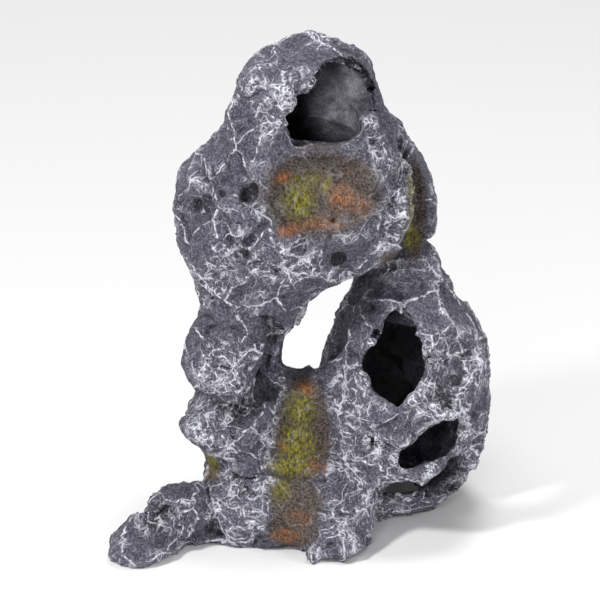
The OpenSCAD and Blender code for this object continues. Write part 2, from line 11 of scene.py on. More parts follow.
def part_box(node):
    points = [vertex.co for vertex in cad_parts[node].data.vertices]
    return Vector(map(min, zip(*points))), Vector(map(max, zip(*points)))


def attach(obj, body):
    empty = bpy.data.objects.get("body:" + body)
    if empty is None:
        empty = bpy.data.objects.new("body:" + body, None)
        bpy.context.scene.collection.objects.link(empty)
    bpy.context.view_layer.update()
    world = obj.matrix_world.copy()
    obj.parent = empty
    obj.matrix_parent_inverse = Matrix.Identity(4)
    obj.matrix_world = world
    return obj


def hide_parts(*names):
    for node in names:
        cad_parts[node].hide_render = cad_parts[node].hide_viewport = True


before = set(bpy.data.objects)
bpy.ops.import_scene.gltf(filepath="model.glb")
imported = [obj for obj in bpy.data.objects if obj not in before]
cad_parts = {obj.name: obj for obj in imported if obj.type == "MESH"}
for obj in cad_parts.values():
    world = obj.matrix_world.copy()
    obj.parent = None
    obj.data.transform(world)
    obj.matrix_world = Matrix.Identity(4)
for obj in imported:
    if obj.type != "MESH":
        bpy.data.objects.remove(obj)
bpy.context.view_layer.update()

MM = 0.001
BODY = "root"
PINS = "locating_pins"
CASTINGS = [name for name in sorted(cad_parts) if name != PINS]
MARKS = ("crest", "crest_wide", "relief", "shut", "painted_light", "dark", "moss", "rust", "brown", "thick")

# The camera of the photograph: it looks along +Y and down
PHOTO_SIDE = 600
PIXEL = 0.6 * MM
CAMERA_DISTANCE = 1.5
CAMERA_TILT = math.radians(20)
TARGET = Vector((-1.5 * MM, 0, 141 * MM))
BACK = Vector((0, -math.cos(CAMERA_TILT), math.sin(CAMERA_TILT)))
RIGHT = Vector((1, 0, 0))
UP = BACK.cross(RIGHT)
EYE = TARGET + BACK * CAMERA_DISTANCE
SENSOR = 36

# Within which distance points of the solids are one, how far the castings are grown to overlap, the
# voxels of the skin's meshes and the length of the edges that the cuts leave too short, in metres
WELD = 0.001 * MM
OVERLAP = 0.35 * MM
COARSE_VOXEL = 2.0 * MM
FINE_VOXEL = 1.15 * MM
PROBE_VOXEL = 4.5 * MM
NEEDLE = 0.002 * MM
# The fewest points of an island that is kept, and rounds of smoothing
CRUMB_POINTS = 40
COARSE_ROUNDS = 3
FINE_ROUNDS = 1

# Wavelengths of the skin's relief and how high each stands, in metres
SCOOP = 30 * MM
SCOOP_H = 8.5 * MM
CHIP = 14 * MM
CHIP_H = 3.2 * MM
FOLD = 9 * MM
FOLD_H = 0.9 * MM
LUMP = 60 * MM
LUMP_H = 1.5 * MM
GRAIN = 2.6 * MM
GRAIN_H = 0.5 * MM
# Wavelengths of the noises that bend the cells and how far each pushes, in metres
WARP = 26 * MM
WARP_BY = 9 * MM
RAGGED = 5 * MM
RAGGED_BY = 1.8 * MM
JAGGED = 2 * MM
JAGGED_BY = 0.4 * MM
# Wavelength of the noise that says where the rock is rough, how far it lies from the other noises and
# the values between which the rock turns rough
WHERE = 34 * MM
WHERE_SHIFT = (0.3, 0.1, 0.2)
ROUGH = (0.38, 0.62)
# The noise of the folds that leaves the skin where it is, the share of the relief that a cave keeps, and
# the share that glazed panels and thin rims lose
FOLD_LEVEL = 0.8
CAVE_KEEPS = 0.25
WORN_LOSES = 0.75
# The floor of a scooped cell, in shares of the relief's height: its depth, what level and tilt add to it,
# the least that is left, how steep its sides are, and how far the ridges stand above the skin
FLOOR_DEPTH = 0.15
FLOOR_BY_LEVEL = 0.6
FLOOR_BY_TILT = 2.0
FLOOR_LEAST = 0.05
FLOOR_STEEP = 7
RIDGE_LIFT = 0.35

# Cells of the white crackle, wavelengths of the paint's noises and how ragged the lines are, in metres
LACE = 8 * MM
FINE_LACE = 4 * MM
PAINT_GRAIN = 1.3 * MM
PAINT_PATCH = 5 * MM
SPECK = 0.9 * MM
STREAK = 1.5 * MM
BREAK = 9 * MM
CLOUD = 30 * MM
LINE_RAGGED = 1.8 * MM

# Colours of the paint's layers: the three glazes have a dark and a pale shade
SLATE_DEEP = (0.031, 0.03, 0.043)
SLATE_PALE = (0.064, 0.062, 0.086)
SLATE_GRAIN = (0.165, 0.163, 0.208)
# Painted shade in hollows and nooks, on top of the paint's dark wash: the slate darkens towards these
HOLLOW_SHADE = (0.012, 0.012, 0.016)
NOOK_SHADE = (0.01, 0.01, 0.014)
MUD = ((0.014, 0.01, 0.008), (0.12, 0.093, 0.07))
GREEN = ((0.03, 0.028, 0.004), (0.26, 0.23, 0.02))
ORANGE = ((0.06, 0.02, 0.009), (0.42, 0.16, 0.05))
BRUSHED_WHITE = (0.88, 0.88, 0.96)
# Painted light: pale rock for cave walls that the camera sees, far paler than the slate outside
LIT_WALL_DEEP = (0.32, 0.315, 0.37)
LIT_WALL_PALE = (0.8, 0.79, 0.88)
LIT_WALL_GRAIN = (0.12, 0.118, 0.145)
LIT_WALL_WHITE = (0.9, 0.9, 0.97)
# Painted shade: black on cave walls that rock shuts in
SHADE_BLACK = (0.004, 0.004, 0.005)
BARE_RESIN = (0.5, 0.49, 0.47)
PIN_RESIN = (0.7, 0.68, 0.6)

# Lamps: place in metres, side in metres and power in watts
LAMPS = [
    ("key", (-1.0, -0.85, 1.35), 0.25, 25), ("fill", (-0.35, -1.5, 0.75), 0.4, 8),
    ("side", (1.2, -0.8, 0.5), 0.5, 8), ("top", (0.2, 0.2, 1.6), 0.5, 13),
]
WORLD_LIGHT = 0.17
# The floor: its radius, how far it lies below the rock, its grey, and the share of plain white, which
# fades in between two distances from the middle, so that the slot under the boulder stays dark
FLOOR_RADIUS = 6.0
FLOOR_DROP = 0.2 * MM
FLOOR_GREY = 0.86
FLOOR_WHITE = 0.7
FLOOR_WHITE_FROM = 0.08
FLOOR_WHITE_TO = 0.2

# How strongly the strokes below stand out, how far they reach in their own radii and how sharp they are
STROKE = 1.15
SWELL_REACH = 2.2
PIT_REACH = 1.6
PIT_SHARP = 1.3
LINE_REACH = 1.7
LINE_SHARP = 2.5

# Boxes in which the steps between castings are evened out: low and high corner in millimetres
EVENED = [((-50, -90, 3), (52, 2, 62)), ((-24, -60, 40), (46, 2, 110))]
EVENED_ROUNDS = 40
EVENED_FADE = 10 * MM

# How far a ray goes to find out whether a point is shut in, how many rays are sent, and the shares of
# blocked rays between which the open air turns into a cave
SHUT_REACH = 80 * MM
SHUT_RAYS = 40
INDOORS = (0.5, 0.75)
# Where a ray starts, in voxels off the surface, and how steeply it leaves at least
RAY_START = 0.6
RAY_STEEP = 0.2

# How far the skin's box of the moss niche reaches above the casting
NICHE_ABOVE = 4 * MM

# Flat faces: pixels round the face, how flat it gets and how far it is lifted in millimetres
FLATS = [
    ([(207, 326), (228, 322), (256, 343), (247, 371), (239, 403), (215, 384), (206, 350)], 0.9, 3.5),
    ([(191, 330), (204, 322), (205, 350), (213, 384), (202, 374), (193, 352)], 0.7, 0.0),
    ([(247, 92), (262, 80), (299, 62), (290, 84), (285, 96), (262, 108), (238, 126), (239, 106)], 0.7, 0.0),
    ([(236, 132), (262, 112), (285, 100), (284, 120), (281, 141), (288, 154), (256, 168), (226, 150)],
     0.7, 1.0),
    ([(262, 74), (277, 51), (296, 42), (311, 52), (300, 60), (281, 67)], 0.7, 0.0),
    ([(185, 425), (206, 405), (240, 409), (262, 422), (257, 450), (231, 453), (206, 440)], 0.7, 1.0),
    ([(212, 490), (262, 479), (270, 540), (228, 546), (204, 522)], 0.7, 0.0),
    ([(140, 518), (165, 505), (205, 501), (212, 530), (172, 541), (144, 546)], 0.7, 1.0),
    ([(427, 352), (440, 300), (463, 352), (470, 400), (440, 408), (425, 388)], 0.6, 0.0),
    ([(352, 300), (396, 290), (393, 317), (377, 336), (359, 360), (345, 345)], 0.6, 0.0),
    ([(214, 215), (250, 238), (251, 300), (226, 292), (211, 250)], 0.6, 0.0),
    ([(262, 248), (300, 236), (332, 226), (322, 270), (290, 286), (262, 282)], 0.6, 0.0),
]
# Pixels over which a flat face fades in, and how deep behind its middle it still takes hold
FLAT_FADE = 5
FLAT_DEPTH = 14 * MM
# How much a point faces the camera at least, to belong to a flat face
FLAT_FACING = 0.05
# Broad swells and dents: pixel of the photograph, radius and height in millimetres
BROAD = [
    (240, 105, 9, -6), (282, 62, 10, -3.5), (262, 88, 9, 2), (222, 165, 10, -4), (204, 206, 11, -6.5),
    (249, 197, 11, -5.5), (226, 230, 10, 3), (247, 252, 11, -6), (300, 250, 14, 2), (345, 240, 12, 2),
    (277, 272, 7, -3), (338, 261, 8, -3), (230, 285, 11, -3), (212, 345, 8, -2), (232, 365, 9, 2),
    (224, 466, 8, -4), (205, 430, 8, 3), (250, 440, 9, -2.5), (230, 510, 10, -2), (262, 520, 8, -2),
    (345, 330, 10, -3), (440, 310, 11, -2.5), (455, 360, 11, -3), (448, 395, 9, 2.5), (372, 445, 12, -5),
    (204, 512, 9, 5), (208, 535, 9, 4), (202, 399, 7, -5), (258, 392, 7, -3), (264, 366, 7, -4),
    (400, 428, 9, 2.5), (350, 490, 10, -3), (345, 540, 8, 2),
]
# Round pits: pixel of the photograph, radius and depth in millimetres
PITS = [
    (249, 199, 6, 3.5), (277, 272, 3.5, 3), (338, 261, 4, 3.5), (334, 220, 2.5, 2.5), (397, 200, 4, 3),
    (374, 141, 3.5, 2), (262, 262, 3, 2), (289, 290, 3, 2), (222, 196, 3, 2), (240, 228, 3, 1.8),
    (245, 490, 2.5, 2.5), (264, 498, 2.5, 2.5), (219, 537, 2.5, 3), (224, 466, 4, 2),
    (372, 440, 5, 4), (364, 455, 3.5, 3), (384, 452, 3.5, 2.5), (378, 431, 3, 2.5), (430, 345, 4, 1.6),
    (452, 372, 4, 2), (440, 320, 4, 2), (320, 450, 2.5, 2), (314, 424, 2.5, 2), (322, 436, 2, 1.5),
    (415, 410, 4, 2.5), (345, 300, 5, 2.5), (352, 318, 3, 2), (470, 350, 4, 2),
    (278, 174, 4, 2.5), (297, 180, 3, 2), (272, 203, 4, 2.5), (333, 221, 2.5, 2.5), (285, 66, 5, 2),
    (303, 448, 2, 1.5), (317, 458, 2.5, 2), (297, 499, 2, 1.5), (340, 456, 3, 2), (199, 205, 5, 2),
]
# Sharp ridges: pixels along the crest, then half width and height in millimetres
RIDGES = [
    ([(349, 91), (359, 109), (375, 131), (390, 152), (400, 172), (405, 190), (403, 213), (397, 234),
      (388, 254), (376, 264)], 7, 4.4),
    ([(272, 177), (269, 190), (265, 202), (274, 219), (291, 237), (331, 224), (349, 221), (368, 201),
      (373, 181), (362, 152)], 4, 1.8),
    ([(311, 56), (300, 72), (289, 86), (286, 99), (289, 113), (283, 125), (284, 143), (290, 154),
      (304, 158), (325, 156), (334, 152), (352, 146)], 5, 2.2),
    ([(232, 131), (255, 112), (274, 99), (286, 95)], 6, 3.0),
    ([(246, 88), (262, 76), (282, 68), (298, 60)], 6, 2.6),
    ([(262, 76), (248, 100), (236, 122), (226, 134), (205, 150)], 7, 3.2),
    ([(205, 325), (206, 350), (214, 382), (236, 402)], 5, 3.2),
    ([(257, 345), (247, 371), (240, 400)], 4.5, 3.2),
    ([(281, 376), (281, 400), (277, 425), (271, 439), (268, 461)], 6, 3.0),
    ([(184, 425), (205, 438), (222, 439), (231, 454)], 6, 2.8),
    ([(305, 388), (330, 402), (338, 430), (330, 468)], 6, 2.6),
    ([(468, 427), (458, 444), (435, 466), (420, 476), (386, 482), (376, 490), (368, 502)], 5, 2.4),
    ([(397, 316), (384, 324), (377, 336), (362, 356), (360, 368), (362, 383), (369, 394), (390, 408),
      (399, 408), (409, 396), (423, 386), (426, 366), (426, 352), (418, 337), (410, 322), (397, 316)],
     4, 1.6),
    ([(402, 442), (420, 425), (445, 411), (464, 416)], 4.5, 2.0),
    ([(225, 240), (236, 262), (247, 290), (252, 318)], 6, 2.2),
    ([(434, 300), (450, 330), (462, 352), (476, 362)], 6, 2.2),
    ([(350, 420), (345, 450), (352, 478), (366, 490)], 6, 2.4),
    ([(140, 516), (162, 505), (182, 506), (204, 500)], 6, 3.4),
    ([(340, 500), (350, 520), (352, 548)], 6, 2.4),
]
# Grooves: pixels along the floor, then half width and depth in millimetres
GROOVES = [
    ([(258, 476), (276, 471), (299, 473), (324, 477)], 4, 3.2),
    ([(266, 340), (258, 372), (249, 400)], 8, 4.0),
    ([(198, 392), (212, 404), (232, 415), (248, 408)], 8, 4.0),
    ([(206, 464), (225, 474), (250, 478)], 5, 2.6),
    ([(413, 172), (416, 200), (413, 243)], 5, 1.2),
    ([(238, 90), (237, 110), (233, 128)], 5, 4.0),
]

# Spots: how fast they fade, how firm the border of a firm one is, and how far they reach in depth, in
# millimetres over the mean of their radii
SPOT_FADE = 0.7
FIRM = 4
SPOT_DEPTH = 4
# Glazes over the slate: pixel, radius in millimetres across, up and strength
MOSS = [
    (298, 198, 10, 13, 1.1), (312, 180, 8, 8, 0.8), (304, 214, 9, 7, 0.7), (327, 186, 4, 10, 0.8),
    (300, 410, 10, 14, 1.0), (296, 445, 12, 14, 1.2), (290, 466, 14, 6, 1.2), (280, 488, 8, 8, 0.9),
    (211, 462, 5, 10, 1.1), (413, 205, 5, 26, 1.0), (410, 236, 6, 10, 0.9), (392, 262, 7, 6, 0.5),
]
RUST = [
    (284, 178, 7, 5, 1.0), (291, 230, 10, 5, 1.0), (342, 197, 10, 9, 1.0), (322, 224, 12, 5, 0.9),
    (306, 387, 9, 5, 0.9), (280, 443, 4, 8, 0.8), (318, 466, 9, 4, 0.8), (300, 518, 13, 7, 0.7),
    (288, 536, 12, 6, 0.9), (361, 205, 8, 9, 0.8), (207, 474, 5, 4, 0.9), (348, 172, 9, 6, 0.6),
]
BROWN = [
    (320, 190, 33, 25, 1.0), (350, 185, 14, 18, 1.0), (304, 430, 16, 32, 1.0), (296, 500, 16, 14, 0.9),
    (294, 528, 15, 14, 0.9), (394, 258, 10, 10, 0.9), (414, 212, 7, 30, 1.0), (210, 466, 8, 10, 0.8),
]
# Places where the white is brushed on thick, or hardly at all: pixel, radii and strength
THICK = [
    (226, 370, 16, 20, 1.3), (272, 100, 16, 14, 0.5), (222, 455, 12, 8, 0.9), (455, 350, 20, 22, 1.1),
    (345, 480, 14, 22, 0.9), (160, 520, 16, 10, 0.9), (440, 400, 18, 12, 1.0), (290, 262, 22, 10, 0.5),
    (393, 200, 8, 30, 0.9), (225, 255, 10, 20, 0.6), (240, 505, 18, 18, 1.0), (350, 395, 12, 20, 0.8),
]
BARE = [
    (262, 375, 8, 24, 1.0), (235, 190, 14, 16, 0.7), (330, 250, 16, 9, 0.7), (425, 320, 14, 12, 0.6),
    (240, 465, 14, 8, 0.5), (345, 345, 10, 16, 0.7), (300, 378, 16, 5, 1.0), (265, 70, 12, 8, 0.4),
]
# Thin rims that keep little relief: pixel, radii and strength
RIMS = [(364, 80, 9, 12, 1.0), (370, 108, 9, 14, 1.0), (360, 140, 9, 9, 1.0)]
# Walls of caves that the camera sees, painted pale as painted light where little light reaches: pixel,
# radii and strength
LIT_WALL_SPOTS = [
    (345, 90, 26, 26, 1.0), (345, 125, 26, 20, 1.0), (440, 438, 16, 14, 0.9), (366, 68, 10, 10, 1.0),
    (374, 90, 9, 14, 1.0), (374, 110, 9, 12, 1.0),
]
# Walls of caves painted black as painted shade: pixel, radii and strength
SHADED_WALL_SPOTS = [(393, 350, 28, 26, 1.0), (393, 385, 28, 26, 1.0), (294, 115, 9, 24, 1.0), (300, 140, 12, 10, 1.0)]


class Skin:
    """A surface as arrays: its points, edges and triangles."""

    def __init__(self, mesh):
        self.co = values(mesh.vertices, "co", 3)
        self.edges = values(mesh.edges, "vertices", 2, np.int32)
        mesh.calc_loop_triangles()
        self.triangles = values(mesh.loop_triangles, "vertices", 3, np.int32)
        self.valence = np.maximum(np.bincount(self.edges.ravel(), minlength=len(self.co)), 1)

    def around(self, value):
        """The mean of a value, or of a vector, over each point's neighbours."""
        a, b = self.edges.T
        count = len(self.co)
        columns = value.reshape(count, -1)
        out = np.empty_like(columns)
        for k in range(columns.shape[1]):
            column = columns[:, k]
            total = np.bincount(a, column[b], count) + np.bincount(b, column[a], count)
            out[:, k] = total / self.valence
        return out.reshape(value.shape)

    def blurred(self, value, rounds):
        for _ in range(rounds):
            value = 0.5 * value + 0.5 * self.around(value)
        return value

    def smooth(self, rounds):
        self.co = self.blurred(self.co, rounds)

    def normals(self):
        p, q, r = (self.co[self.triangles[:, k]] for k in range(3))
        face = np.cross(q - p, r - p)
        out = np.zeros_like(self.co)
        for k in range(3):
            for axis in range(3):
                out[:, axis] += np.bincount(self.triangles[:, k], face[:, axis], len(self.co))
        return out / np.maximum(np.linalg.norm(out, axis=1, keepdims=True), 1e-12)

    def push(self, amount):
        """Moves each point along its normal."""
        self.co = self.co + self.normals() * amount[:, None]

    def tree(self):
        return BVHTree.FromPolygons(self.co.tolist(), self.triangles.tolist())

    def bulge(self, rounds):
        """How far each point stands out of its surroundings, along its normal."""
        flat = self.blurred(self.co, rounds)
        return np.einsum("ij,ij->i", self.co - flat, self.normals())


def values(items, name, width=1, kind=np.float64):
    out = np.empty(len(items) * width, kind)
    items.foreach_get(name, out)
    return out.reshape(-1, width) if width > 1 else out


def eased(value, low, high):
    t = np.clip((value - low) / (high - low), 0, 1)
    return t * t * (3 - 2 * t)


def pixel_hit(tree, u, v):
    """The point of the surface that the photograph shows at a pixel, or None."""
    half = PHOTO_SIDE / 2
    aim = TARGET + RIGHT * ((u - half) * PIXEL) + UP * ((half - v) * PIXEL)
    return tree.ray_cast(EYE, (aim - EYE).normalized())[0]


def pixels_of(co):
    """The pixel at which the photograph shows each point, and its distance along the camera's axis."""
    from_eye = co - np.array(EYE)
    depth = -from_eye @ np.array(BACK)
    zoom = CAMERA_DISTANCE / PIXEL / depth
    half = PHOTO_SIDE / 2
    return half + from_eye @ np.array(RIGHT) * zoom, half - from_eye @ np.array(UP) * zoom, depth


def inside_by(corners, u, v):
    """How many pixels each place lies inside a polygon, or less than 0 outside it."""
    inside = np.zeros(len(u), bool)
    away = np.full(len(u), np.inf)
    for (u0, v0), (u1, v1) in zip(corners, corners[1:] + corners[:1]):
        du, dv = u1 - u0, v1 - v0
        along = np.clip(((u - u0) * du + (v - v0) * dv) / (du ** 2 + dv ** 2), 0, 1)
        away = np.minimum(away, np.hypot(u - u0 - along * du, v - v0 - along * dv))
        if dv:
            inside ^= ((v0 > v) != (v1 > v)) & (u < u0 + (v - v0) / dv * du)
    return np.where(inside, away, -away)


def pixel_path(tree, pixels, step=1.5 * MM):
    """Points close together on the surface along a line of pixels."""
    points = []
    for (u0, v0), (u1, v1) in zip(pixels, pixels[1:]):
        count = max(int(math.hypot(u1 - u0, v1 - v0) * PIXEL / step), 1)
        for i in range(count + 1):
            t = i / count
            hit = pixel_hit(tree, u0 + (u1 - u0) * t, v0 + (v1 - v0) * t)
            if hit is not None:
                points.append(np.array(hit))
    return np.array(points)


def lookup_of(points):
    """A tree that finds the nearest of some points."""
    tree = KDTree(len(points))
    for i, place in enumerate(points):
        tree.insert(place, i)
    tree.balance()
    return tree


def distance_to(co, points, reach):
    """Distance from each point of the skin to the nearest of some points, up to reach."""
    out = np.full(len(co), reach)
    for p in points:
        near = np.flatnonzero(np.abs(co[:, 0] - p[0]) < reach)
        near = near[np.abs(co[near, 2] - p[2]) < reach]
        out[near] = np.minimum(out[near], np.linalg.norm(co[near] - p, axis=1))
    return out


def object_of(data, name):
    piece = bpy.data.objects.new(name, data)
    bpy.context.scene.collection.objects.link(piece)
    return piece


def evaluated(piece):
    """The mesh of a piece with its modifiers applied."""
    graph = bpy.context.evaluated_depsgraph_get()
    graph.update()
    return bpy.data.meshes.new_from_object(piece.evaluated_get(graph))


def remeshed(mesh, voxel):
    piece = object_of(mesh, "remesh")
    modifier = piece.modifiers.new("voxels", "REMESH")
    modifier.mode = "VOXEL"
    modifier.voxel_size = voxel
    out = evaluated(piece)
    bpy.data.objects.remove(piece)
    return out


def joined_castings():
    """All castings in one mesh, each a little larger, so that they overlap where they are bonded."""
    form = bmesh.new()
    for name in CASTINGS:
        form.from_mesh(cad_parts[name].data)
    bmesh.ops.remove_doubles(form, verts=form.verts, dist=WELD)
    form.normal_update()
    for vertex in form.verts:
        vertex.co += vertex.normal * OVERLAP
    mesh = bpy.data.meshes.new("castings")
    form.to_mesh(mesh)
    form.free()
    return mesh


def moved(mesh, co):
    mesh.vertices.foreach_set("co", co.ravel())
    mesh.update()
    return mesh


class Graph:
    """Shorthand for nodes that work both in geometry and in materials."""

    def __init__(self, tree):
        self.tree = tree

    def node(self, kind, inputs=(), **settings):
        node = self.tree.nodes.new(kind)
        for name, value in settings.items():
            setattr(node, name, value)
        for key, value in dict(inputs).items():
            self.set(node.inputs[key], value)
        return node

    def set(self, socket, value):
        if isinstance(value, bpy.types.NodeSocket):
            self.tree.links.new(value, socket)
        else:
            socket.default_value = value

    def math(self, operation, a, b=0.0, clamp=False):
        return self.node("ShaderNodeMath", {0: a, 1: b}, operation=operation, use_clamp=clamp).outputs[0]

    def times(self, *factors):
        out = factors[0]
        for factor in factors[1:]:
            out = self.math("MULTIPLY", out, factor)
        return out

    def most(self, *sockets):
        out = sockets[0]
        for socket in sockets[1:]:
            out = self.math("MAXIMUM", out, socket)
        return out

    def vector(self, operation, a, b):
        return self.node("ShaderNodeVectorMath", {0: a, 1: b}, operation=operation).outputs[0]

    def scaled(self, vector, factor):
        return self.node("ShaderNodeVectorMath", {0: vector, "Scale": factor}, operation="SCALE").outputs[0]

    def noise(self, place, wave, detail=3.0, rough=0.55, output=0):
        inputs = {"Vector": place, "Scale": 1 / wave, "Detail": detail, "Roughness": rough}
        return self.node("ShaderNodeTexNoise", inputs).outputs[output]

    def folds(self, place, wave, detail):
        inputs = {"Vector": place, "Scale": 1 / wave, "Detail": detail, "Roughness": 0.5}
        inputs |= {"Offset": 0.9, "Gain": 1.6}
        node = self.node("ShaderNodeTexNoise", inputs, noise_type="RIDGED_MULTIFRACTAL", normalize=True)
        return node.outputs[0]

    def borders(self, place, size):
        """The distance to the nearest border between cells, in cell sizes."""
        inputs = {"Vector": place, "Scale": 1 / size}
        return self.node("ShaderNodeTexVoronoi", inputs, feature="DISTANCE_TO_EDGE").outputs["Distance"]

    def levels(self, place, size):
        """A level for each cell, from 0 to 1."""
        color = self.node("ShaderNodeTexVoronoi", {"Vector": place, "Scale": 1 / size}).outputs["Color"]
        inputs = {0: color, 1: (1.0, 0.0, 0.0)}
        return self.node("ShaderNodeVectorMath", inputs, operation="DOT_PRODUCT").outputs["Value"]

    def tilts(self, place, size):
        """How far each place stands out of its cell's middle along the cell's own way, in cell sizes."""
        cell = self.node("ShaderNodeTexVoronoi", {"Vector": place, "Scale": 1 / size})
        away = self.vector("SUBTRACT", place, cell.outputs["Position"])
        way = self.vector("SUBTRACT", cell.outputs["Color"], (0.5, 0.5, 0.5))
        along = self.node("ShaderNodeVectorMath", {0: away, 1: way}, operation="DOT_PRODUCT")
        return self.math("MULTIPLY", along.outputs["Value"], 1 / size)

    def ramp(self, value, low, high, to_low=0.0, to_high=1.0):
        inputs = {"Value": value, 1: low, 2: high, 3: to_low, 4: to_high}
        node = self.node("ShaderNodeMapRange", inputs, interpolation_type="SMOOTHSTEP")
        return node.outputs[0]

    def mix(self, factor, a, b):
        node = self.node("ShaderNodeMix", data_type="RGBA")
        self.set(node.inputs[0], factor)
        for socket, value in ((node.inputs[6], a), (node.inputs[7], b)):
            self.set(socket, value if isinstance(value, bpy.types.NodeSocket) else (*value, 1.0))
        return node.outputs[2]


def bent(g, place):
    """The place, pushed about by noise, so that cells get ragged edges."""
    for wave, by in ((WARP, WARP_BY), (RAGGED, RAGGED_BY), (JAGGED, JAGGED_BY)):
        push = g.vector("SUBTRACT", g.noise(place, wave, 2.0, output=1), (0.5, 0.5, 0.5))
        place = g.vector("ADD", place, g.scaled(push, 2 * by))
    return place


def sampled(mesh):
    """Relief fields at each point of a mesh."""
    tree = bpy.data.node_groups.new("relief", "GeometryNodeTree")
    tree.interface.new_socket("Geometry", in_out="INPUT", socket_type="NodeSocketGeometry")
    tree.interface.new_socket("Geometry", in_out="OUTPUT", socket_type="NodeSocketGeometry")
    g = Graph(tree)
    flow = g.node("NodeGroupInput").outputs[0]
    place = g.node("GeometryNodeInputPosition").outputs[0]
    ragged = bent(g, place)
    fields = {
        "scoop_edge": g.borders(ragged, SCOOP),
        "scoop_level": g.levels(ragged, SCOOP),
        "scoop_tilt": g.tilts(ragged, SCOOP),
        "chip_edge": g.borders(ragged, CHIP),
        "chip_level": g.levels(ragged, CHIP),
        "chip_tilt": g.tilts(ragged, CHIP),
        "folds": g.folds(ragged, FOLD, 4.0),
        "lumps": g.noise(place, LUMP, 2.0),
        "where": g.noise(g.vector("ADD", place, WHERE_SHIFT), WHERE, 2.0),
        "grain": g.noise(place, GRAIN, 4.0, 0.6),
    }
    for name, field in fields.items():
        store = g.node("GeometryNodeStoreNamedAttribute", {"Geometry": flow, "Name": name, "Value": field})
        flow = store.outputs[0]
    g.set(g.node("NodeGroupOutput").inputs[0], flow)
    piece = object_of(mesh, "sample")
    piece.modifiers.new("relief", "NODES").node_group = tree
    out = evaluated(piece)
    found = {name: values(out.attributes[name].data, "value") for name in fields}
    bpy.data.objects.remove(piece)
    return found


def evened(skin):
    """Evens out the steps between castings where the photograph shows none."""
    share = np.zeros(len(skin.co))
    for low, high in EVENED:
        inside = np.minimum(skin.co - np.array(low) * MM, np.array(high) * MM - skin.co).min(axis=1)
        share = np.maximum(share, eased(inside, 0, EVENED_FADE))
    smooth = skin.blurred(skin.co, EVENED_ROUNDS)
    skin.co = skin.co + share[:, None] * (smooth - skin.co)


def swollen(skin):
    """The broad swells and dents, on the coarse skin."""
    tree = skin.tree()
    move = np.zeros(len(skin.co))
    for u, v, radius, height in BROAD:
        hit = pixel_hit(tree, u, v)
        if hit is not None:
            away = distance_to(skin.co, [np.array(hit)], SWELL_REACH * radius * MM) / (radius * MM)
            move += STROKE * height * MM * np.exp(-away ** 2)
    skin.push(move)


def flattened(skin):
    """Pulls the skin to a plane inside each flat face."""
    tree = skin.tree()
    facing = skin.normals() @ np.array(BACK) > FLAT_FACING
    for corners, share, lift in FLATS:
        u, v, depth = pixels_of(skin.co)
        middle = pixel_hit(tree, *np.mean(corners, axis=0))
        if middle is None:
            continue
        near = np.abs(depth - (EYE - middle).dot(BACK)) < FLAT_DEPTH
        weight = eased(inside_by(corners, u, v), 0, FLAT_FADE) * (near & facing)
        chosen = np.flatnonzero(weight > 0)
        points = skin.co[chosen]
        centre = points.mean(axis=0)
        normal = np.linalg.svd(points - centre, full_matrices=False)[2][2]
        normal = normal * np.sign(normal @ np.array(BACK))
        step = lift * MM - share * ((points - centre) @ normal)
        skin.co[chosen] += (weight[chosen] * step)[:, None] * normal


def carved(skin):
    """The pits, ridges and grooves, on the fine skin."""
    tree = skin.tree()
    move = np.zeros(len(skin.co))
    for u, v, radius, depth in PITS:
        hit = pixel_hit(tree, u, v)
        if hit is not None:
            away = distance_to(skin.co, [np.array(hit)], PIT_REACH * radius * MM) / (radius * MM)
            move -= depth * MM * np.exp(-(away * PIT_SHARP) ** 2)
    for sign, strokes in ((1, RIDGES), (-1, GROOVES)):
        for pixels, half_width, height in strokes:
            points = pixel_path(tree, pixels)
            if len(points):
                reach = LINE_REACH * half_width * MM
                away = distance_to(skin.co, points, reach) / reach
                move += sign * STROKE * height * MM * (1 - away) ** LINE_SHARP
    skin.push(move)


def patch(skin, tree, spots, firm=2):
    """How strongly each point is covered: soft spots on the surface that the camera sees."""
    out = np.zeros(len(skin.co))
    for u, v, across, high, strength in spots:
        hit = pixel_hit(tree, u, v)
        if hit is None:
            continue
        reach = np.array([across, (across + high) / 2 + SPOT_DEPTH, high]) * MM
        away = np.linalg.norm((skin.co - np.array(hit)) / reach, axis=1)
        out = np.maximum(out, strength * np.exp(-SPOT_FADE * away ** firm))
    return out


def directions(count):
    """Ways that point evenly all round."""
    k = np.arange(count)
    z = 1 - 2 * (k + 0.5) / count
    turn = k * math.pi * (3 - math.sqrt(5))
    r = np.sqrt(1 - z * z)
    return np.stack([r * np.cos(turn), r * np.sin(turn), z], axis=1)


def shut_in(mesh, skin):
    """How shut in each point of the skin is: the share of rays from near it that meet rock."""
    probe = Skin(remeshed(mesh, PROBE_VOXEL))
    tree = probe.tree()
    normals = probe.normals()
    ways = directions(SHUT_RAYS)
    vectors = [Vector(way) for way in ways]
    shares = np.zeros(len(probe.co))
    for i, (place, normal) in enumerate(zip(probe.co, normals)):
        start = Vector(place + normal * PROBE_VOXEL * RAY_START)
        facing = np.flatnonzero(ways @ normal > RAY_STEEP)
        blocked = sum(tree.ray_cast(start, vectors[k], SHUT_REACH)[0] is not None for k in facing)
        shares[i] = blocked / len(facing)
    shares = probe.blurred(shares, 2)
    lookup = lookup_of(probe.co)
    nearest = np.fromiter((lookup.find(place)[1] for place in skin.co), np.int64, len(skin.co))
    return skin.blurred(shares[nearest], 6)


def shaped_skin():
    """The castings grown together, with the strokes on them: the skin, its mesh and the coarse mesh."""
    coarse_mesh = remeshed(joined_castings(), COARSE_VOXEL)
    coarse = Skin(coarse_mesh)
    coarse.smooth(COARSE_ROUNDS)
    evened(coarse)
    swollen(coarse)
    moved(coarse_mesh, coarse.co)
    mesh = remeshed(coarse_mesh.copy(), FINE_VOXEL)
    skin = Skin(mesh)
    skin.smooth(FINE_ROUNDS)
    flattened(skin)
    skin.smooth(FINE_ROUNDS)
    carved(skin)
    return skin, mesh, coarse_mesh


